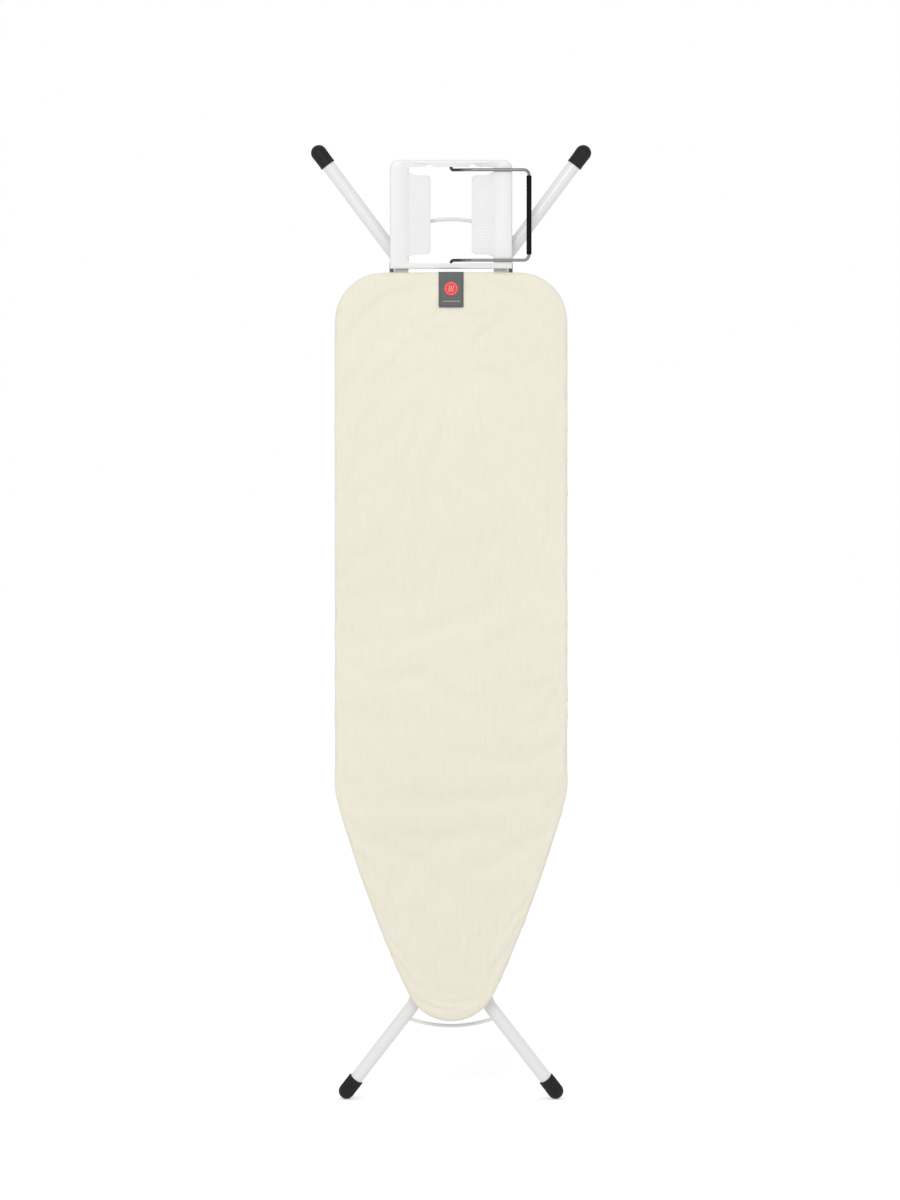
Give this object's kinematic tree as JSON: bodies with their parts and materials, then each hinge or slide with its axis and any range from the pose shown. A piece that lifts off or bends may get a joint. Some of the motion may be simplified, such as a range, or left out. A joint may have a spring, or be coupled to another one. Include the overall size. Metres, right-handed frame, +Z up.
{
  "type": "ironing board",
  "caption": "Padded ironing board with a tapered nose, folding crossed tube legs, a flat steam-iron rest and a flip-over wire bail, shown folded flat.",
  "frame": {"origin": "middle of the folded board's outline at the floor under its lower feet", "axes": "+X to the right seen from the ironing face, -Y out of the ironing face, +Z up along the folded board from nose to iron rest"},
  "size_m": [0.465, 0.0632, 1.588],
  "materials": {
    "cover_cloth": "matt cotton",
    "foam": "matt foam",
    "deck_steel": "satin grey",
    "white_steel": "satin white",
    "white_tube": "satin white",
    "rest_steel": "satin white",
    "rest_pad": "matt heat resistant",
    "bare_steel": "zinc plated",
    "wire": "bright plated",
    "black_plastic": "matt",
    "black_rubber": "matt",
    "label_cloth": "woven",
    "label_red": "printed"
  },
  "bodies": {
    "board": {"cover": "cover_cloth", "foam_pad": "foam", "mesh_deck": "deck_steel", "rim_frame": "white_steel", "stay_nose": "white_steel", "stay_mid": "white_steel", "stay_low": "white_steel", "stay_top": "white_steel", "stay_end": "white_steel", "pivot_bracket_l": "white_steel", "pivot_bracket_r": "white_steel", "bracket_rivets": "bare_steel", "rail": "white_steel", "rail_rivets": "bare_steel", "bearing_low": "black_plastic", "bearing_top": "black_plastic", "rest_plate": "rest_steel", "rest_pad_l": "rest_pad", "rest_pad_r": "rest_pad", "rest_arm_l": "white_steel", "rest_arm_r": "white_steel", "rest_screws": "bare_steel", "cover_clip_l": "black_plastic", "cover_clip_r": "black_plastic", "label": "label_cloth", "label_patch": "label_red"},
    "outer_legs": {"leg_a_tube_l": "white_tube", "leg_a_tube_r": "white_tube", "leg_a_rod": "white_steel", "pivot_rod": "bare_steel", "pivot_cap_l": "black_plastic", "pivot_cap_r": "black_plastic", "cap_a_l": "black_rubber", "cap_a_r": "black_rubber", "centre_bolt_l": "bare_steel", "centre_bolt_r": "bare_steel", "spacer_l": "black_plastic", "spacer_r": "black_plastic"},
    "inner_legs": {"leg_b_tube_l": "white_tube", "leg_b_tube_r": "white_tube", "leg_b_rod": "white_steel", "crossbar": "bare_steel", "cap_b_l": "black_rubber", "cap_b_r": "black_rubber"},
    "slider": {"slider_shoe": "black_plastic"},
    "height_lever": {"rack_lever": "bare_steel", "lever_grip": "black_plastic"},
    "bail": {"bail_wire": "wire", "bail_sleeve": "black_rubber"}
  },
  "joints": [
    {"name": "fold", "type": "hinge", "parent": "board", "child": "outer_legs", "pos_m": [0, 0.00137, 0.364], "axis": [-1, 0, 0], "range_deg": [0, 48.5]},
    {"name": "scissor", "type": "hinge", "parent": "outer_legs", "child": "inner_legs", "pos_m": [0, 0.01837, 0.794], "axis": [1, 0, 0], "range_deg": [0, 97]},
    {"name": "shoe_turn", "type": "hinge", "parent": "inner_legs", "child": "slider", "pos_m": [0, 0.00137, 1.224], "axis": [-1, 0, 0], "range_deg": [0, 48.5]},
    {"name": "lever_turn", "type": "hinge", "parent": "board", "child": "height_lever", "pos_m": [0.04, 0.01238, 1.1], "axis": [0, 0, 1], "range_deg": [0, 75], "stiffness_Nm_per_rad": 0.12, "springref_deg": -28.65},
    {"name": "bail_flip", "type": "hinge", "parent": "board", "child": "bail", "pos_m": [0, -0.01562, 1.47], "axis": [0, 0, -1], "range_deg": [0, 158]}
  ],
  "couplings": [
    {"joint": "scissor", "follows": "fold", "ratio": 2},
    {"joint": "shoe_turn", "follows": "fold", "ratio": 1}
  ]
}
